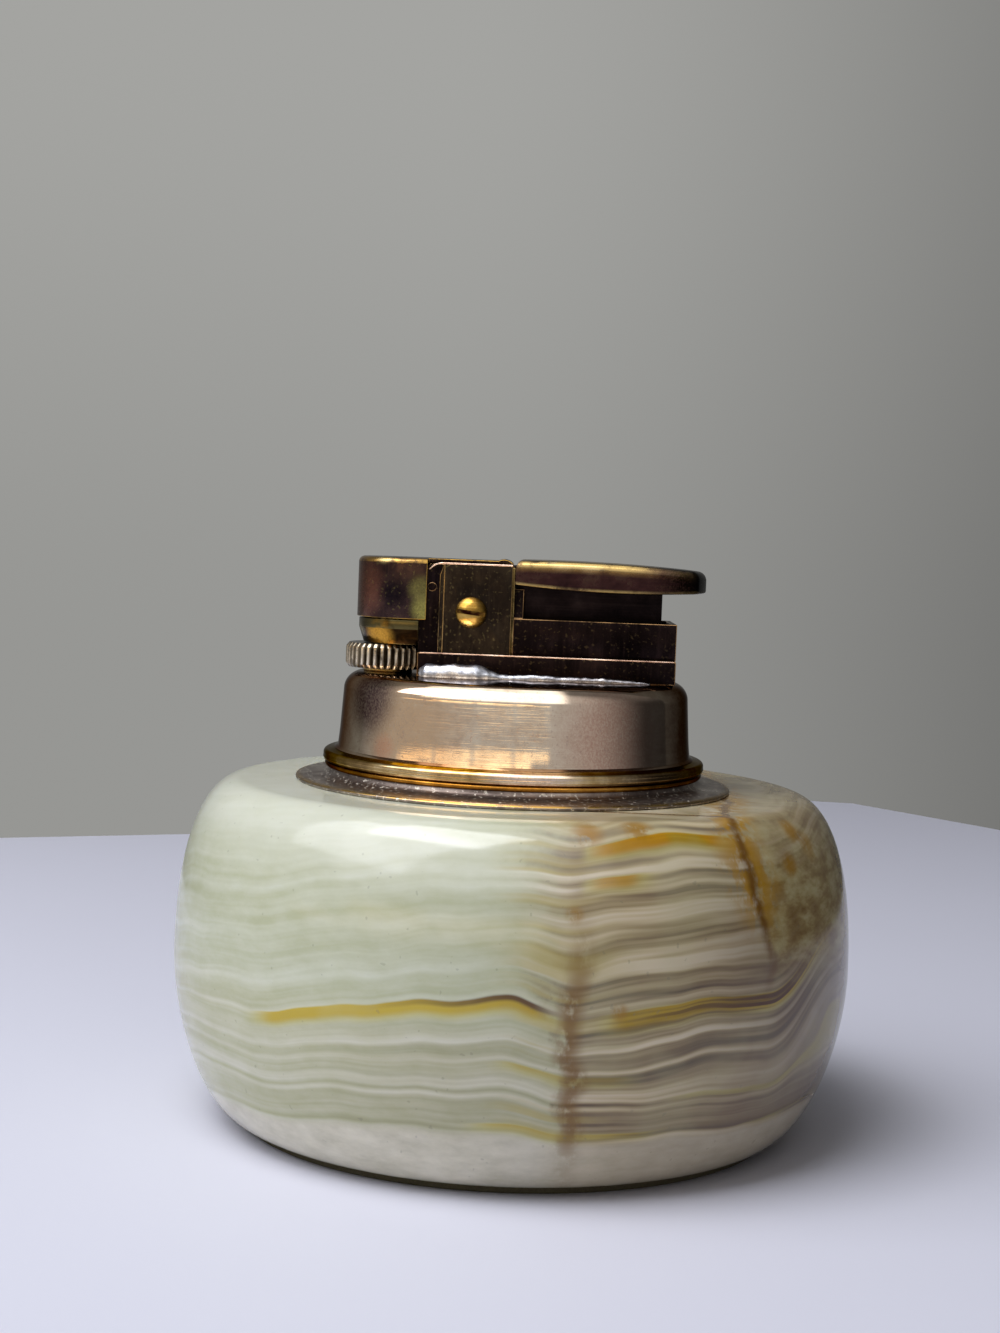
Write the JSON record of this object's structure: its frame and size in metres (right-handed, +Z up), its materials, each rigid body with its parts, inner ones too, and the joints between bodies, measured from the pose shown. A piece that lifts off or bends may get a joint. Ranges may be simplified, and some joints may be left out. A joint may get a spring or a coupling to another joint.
{
  "type": "gas table lighter",
  "caption": "Table lighter: round stone base with a lift-out gas burner unit, long thumb lever, hinged snuffer hood and knurled flame wheel.",
  "frame": {"origin": "centre of the underside of the felt pad, on the axis of the stone base", "axes": "+Z up along the axis of the stone base, +X towards the tip of the thumb lever, -X towards the snuffer hood, -Y the side with the slotted axle screw"},
  "size_m": [0.0912, 0.0912, 0.076],
  "materials": {
    "onyx": "polished, banded green, white and ochre",
    "felt": "thin pressed felt",
    "flange_brass": "tarnished grey-brown with a worn bright rim",
    "copper_collar": "copper-rose tarnish over drawn brass, glossy",
    "dark_brass": "dark purple-brown tarnish",
    "lever_brass": "dark tarnish worn to gold along the edges",
    "bright_brass": "bright amber brass",
    "plain_brass": "plain turned brass",
    "steel": "plain steel",
    "solder": "lumpy silver solder, tin and lead, aluminium stands in",
    "flint": "dark ferrocerium",
    "rubber": "black rubber",
    "plastic": "pale plastic"
  },
  "bodies": {
    "base": {"onyx_base": "onyx", "base_pad": "felt", "seat_cup": "flange_brass"},
    "burner_unit": {"fuel_tank": "copper_collar", "tank_bottom": "plain_brass", "grip_ring": "rubber", "foot_plate": "dark_brass", "solder_seam": "solder", "frame_block": "dark_brass", "mechanism_frame": "dark_brass", "front_side_plate": "dark_brass", "rear_side_plate": "dark_brass", "axle_screw": "bright_brass", "axle_nut": "bright_brass", "lever_pin": "steel", "hood_pin": "steel", "lever_spring": "steel", "flint_tube": "plain_brass", "flint": "flint", "flint_spring": "steel", "flint_screw": "plain_brass", "burner_cup": "bright_brass", "valve_body": "plain_brass", "valve_nut": "plain_brass", "jet_spring": "steel", "feed_tube": "plastic", "filler_body": "plain_brass", "filler_spring": "steel", "filler_seal": "rubber"},
    "lever": {"thumb_lever": "lever_brass", "lever_frame": "dark_brass", "pawl": "steel"},
    "hood": {"snuffer_hood": "lever_brass", "hood_seal": "rubber"},
    "spark_shaft": {"spark_wheel": "steel", "ratchet_wheel": "steel"},
    "jet": {"burner_jet": "bright_brass", "jet_seal": "rubber"},
    "flame_wheel": {"adjuster_wheel": "plain_brass"},
    "refill_stem": {"filler_stem": "plain_brass"}
  },
  "joints": [
    {"name": "unit_lift", "type": "slide", "parent": "base", "child": "burner_unit", "axis": [0, 0, 1], "range_m": [0, 0.045]},
    {"name": "lever_press", "type": "hinge", "parent": "burner_unit", "child": "lever", "pos_m": [-0.0123, 0, 0.072], "axis": [0, 1, 0], "range_deg": [0, 7], "stiffness_Nm_per_rad": 0.5, "springref_deg": -8.59, "deforming": ["lever_spring"]},
    {"name": "hood_open", "type": "hinge", "parent": "burner_unit", "child": "hood", "pos_m": [-0.0029, 0, 0.0743], "axis": [0, 1, 0], "range_deg": [0, 53]},
    {"name": "spark_turn", "type": "hinge", "parent": "burner_unit", "child": "spark_shaft", "pos_m": [-0.007, 0, 0.0688], "axis": [0, 1, 0], "range_deg": [0, 21.5]},
    {"name": "jet_rise", "type": "slide", "parent": "burner_unit", "child": "jet", "axis": [0, 0, 1], "range_m": [0, 0.0008], "deforming": ["jet_spring"]},
    {"name": "flame_adjust", "type": "hinge", "parent": "burner_unit", "child": "flame_wheel", "pos_m": [-0.0182, 0, 0.0624], "axis": [0, 0, 1], "range_deg": [-120, 120]},
    {"name": "refill_press", "type": "slide", "parent": "burner_unit", "child": "refill_stem", "axis": [0, 0, 1], "range_m": [0, 0.0012], "stiffness_N_per_m": 800, "springref_m": -0.001, "deforming": ["filler_spring"]}
  ],
  "couplings": [
    {"joint": "hood_open", "follows": "lever_press", "ratio": 7.5},
    {"joint": "spark_turn", "follows": "lever_press", "ratio": 3},
    {"joint": "jet_rise", "follows": "lever_press", "m_per_rad": 0.0065}
  ]
}
